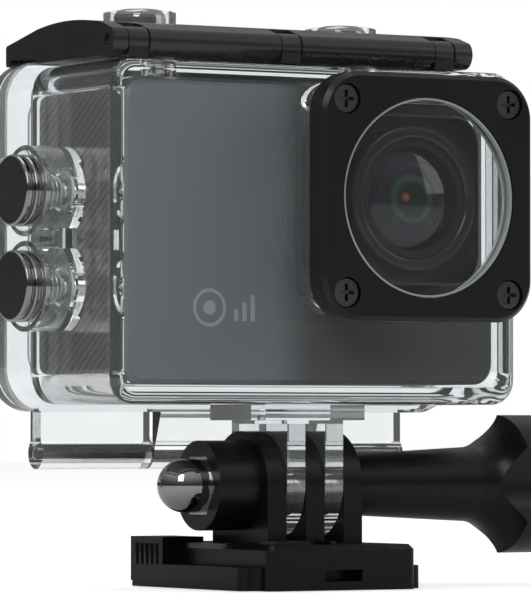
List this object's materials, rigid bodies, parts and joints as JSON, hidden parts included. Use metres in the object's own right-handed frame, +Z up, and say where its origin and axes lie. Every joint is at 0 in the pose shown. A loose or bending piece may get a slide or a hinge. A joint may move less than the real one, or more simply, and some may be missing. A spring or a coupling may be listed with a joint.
{
  "type": "action camera in a waterproof case on a quick-release mount",
  "caption": "Small action camera in a clear waterproof case with a latched rear door and sprung buttons, on a tilting quick-release buckle with a thumb screw.",
  "frame": {"origin": "on the buckle's flat underside, straight below the thumb-screw axis and midway between the outer prongs", "axes": "+X to the right seen from the front and along the thumb-screw axis towards the knob, the lens faces -Y, +Z up"},
  "size_m": [0.0833, 0.0402, 0.0797],
  "materials": {
    "black_nylon": "satin",
    "chrome_nut": "polished",
    "steel_pin": "satin",
    "clear_case": "polished",
    "black_frame": "satin",
    "seal_rubber": "matte",
    "clear_glass": "polished",
    "steel_screw": "satin",
    "latch_black": "satin",
    "camera_side": "matte",
    "camera_face": "satin",
    "display_glass": "gloss",
    "lens_black": "satin",
    "lens_glass": "coated",
    "board_green": "satin",
    "battery_wrap": "satin",
    "chrome_button": "polished",
    "spring_wire": "satin",
    "camera_key": "satin"
  },
  "bodies": {
    "buckle": {"buckle_base": "black_nylon", "dome_nut": "chrome_nut"},
    "thumb_screw": {"thumb_stud": "steel_pin", "thumb_knob": "black_nylon"},
    "case": {"case_shell": "clear_case", "port_frame": "black_frame", "port_gasket": "seal_rubber", "port_glass": "clear_glass", "port_screws": "steel_screw", "latch_lugs": "latch_black", "door_pin": "steel_pin", "latch_pin": "steel_pin", "door_seal": "seal_rubber", "button_o_rings": "seal_rubber", "camera_body": "camera_side", "camera_cover": "camera_face", "rear_display": "display_glass", "lens_block": "lens_black", "lens_ring": "lens_black", "lens_barrel": "lens_black", "lens_glass": "lens_glass", "inner_lens": "lens_black", "sensor_board": "board_green", "main_board": "board_green", "battery": "battery_wrap", "side_upper_spring": "spring_wire", "side_lower_spring": "spring_wire", "top_left_spring": "spring_wire", "top_right_spring": "spring_wire"},
    "door": {"back_door": "clear_case"},
    "latch": {"latch_bar": "latch_black"},
    "side_upper_button": {"side_upper_plunger": "chrome_button", "side_upper_clip": "spring_wire"},
    "side_upper_camera_key": {"side_upper_key": "camera_key"},
    "side_lower_button": {"side_lower_plunger": "chrome_button", "side_lower_clip": "spring_wire"},
    "side_lower_camera_key": {"side_lower_key": "camera_key"},
    "top_left_button": {"top_left_plunger": "chrome_button", "top_left_clip": "spring_wire"},
    "top_left_camera_key": {"top_left_key": "camera_key"},
    "top_right_button": {"top_right_plunger": "chrome_button", "top_right_clip": "spring_wire"},
    "top_right_camera_key": {"top_right_key": "camera_key"}
  },
  "joints": [
    {"name": "case_tilt", "type": "hinge", "parent": "buckle", "child": "case", "pos_m": [0, 0, 0.0142], "axis": [1, 0, 0], "range_deg": [-25, 75]},
    {"name": "thumb_turn", "type": "hinge", "parent": "buckle", "child": "thumb_screw", "pos_m": [0, 0, 0.0142], "axis": [1, 0, 0], "continuous": true},
    {"name": "latch_open", "type": "hinge", "parent": "case", "child": "latch", "pos_m": [0, -0.0069, 0.0744], "axis": [1, 0, 0], "range_deg": [0, 100]},
    {"name": "door_open", "type": "hinge", "parent": "case", "child": "door", "pos_m": [0, 0.0188, 0.0186], "axis": [-1, 0, 0], "range_deg": [0, 60]},
    {"name": "side_upper_press", "type": "slide", "parent": "case", "child": "side_upper_button", "axis": [1, 0, 0], "range_m": [0, 0.0008], "stiffness_N_per_m": 400, "springref_m": -0.0006, "deforming": ["side_upper_spring"]},
    {"name": "side_upper_key_press", "type": "slide", "parent": "case", "child": "side_upper_camera_key", "axis": [1, 0, 0], "range_m": [0, 0.0008]},
    {"name": "side_lower_press", "type": "slide", "parent": "case", "child": "side_lower_button", "axis": [1, 0, 0], "range_m": [0, 0.0008], "stiffness_N_per_m": 400, "springref_m": -0.0006, "deforming": ["side_lower_spring"]},
    {"name": "side_lower_key_press", "type": "slide", "parent": "case", "child": "side_lower_camera_key", "axis": [1, 0, 0], "range_m": [0, 0.0008]},
    {"name": "top_left_press", "type": "slide", "parent": "case", "child": "top_left_button", "axis": [0, 0, -1], "range_m": [0, 0.0008], "stiffness_N_per_m": 400, "springref_m": -0.0006, "deforming": ["top_left_spring"]},
    {"name": "top_left_key_press", "type": "slide", "parent": "case", "child": "top_left_camera_key", "axis": [0, 0, -1], "range_m": [0, 0.0008]},
    {"name": "top_right_press", "type": "slide", "parent": "case", "child": "top_right_button", "axis": [0, 0, -1], "range_m": [0, 0.0008], "stiffness_N_per_m": 400, "springref_m": -0.0006, "deforming": ["top_right_spring"]},
    {"name": "top_right_key_press", "type": "slide", "parent": "case", "child": "top_right_camera_key", "axis": [0, 0, -1], "range_m": [0, 0.0008]}
  ],
  "couplings": [
    {"joint": "door_open", "follows": "latch_open", "ratio": 0.6},
    {"joint": "side_upper_key_press", "follows": "side_upper_press", "ratio": 1},
    {"joint": "side_lower_key_press", "follows": "side_lower_press", "ratio": 1},
    {"joint": "top_left_key_press", "follows": "top_left_press", "ratio": 1},
    {"joint": "top_right_key_press", "follows": "top_right_press", "ratio": 1}
  ]
}
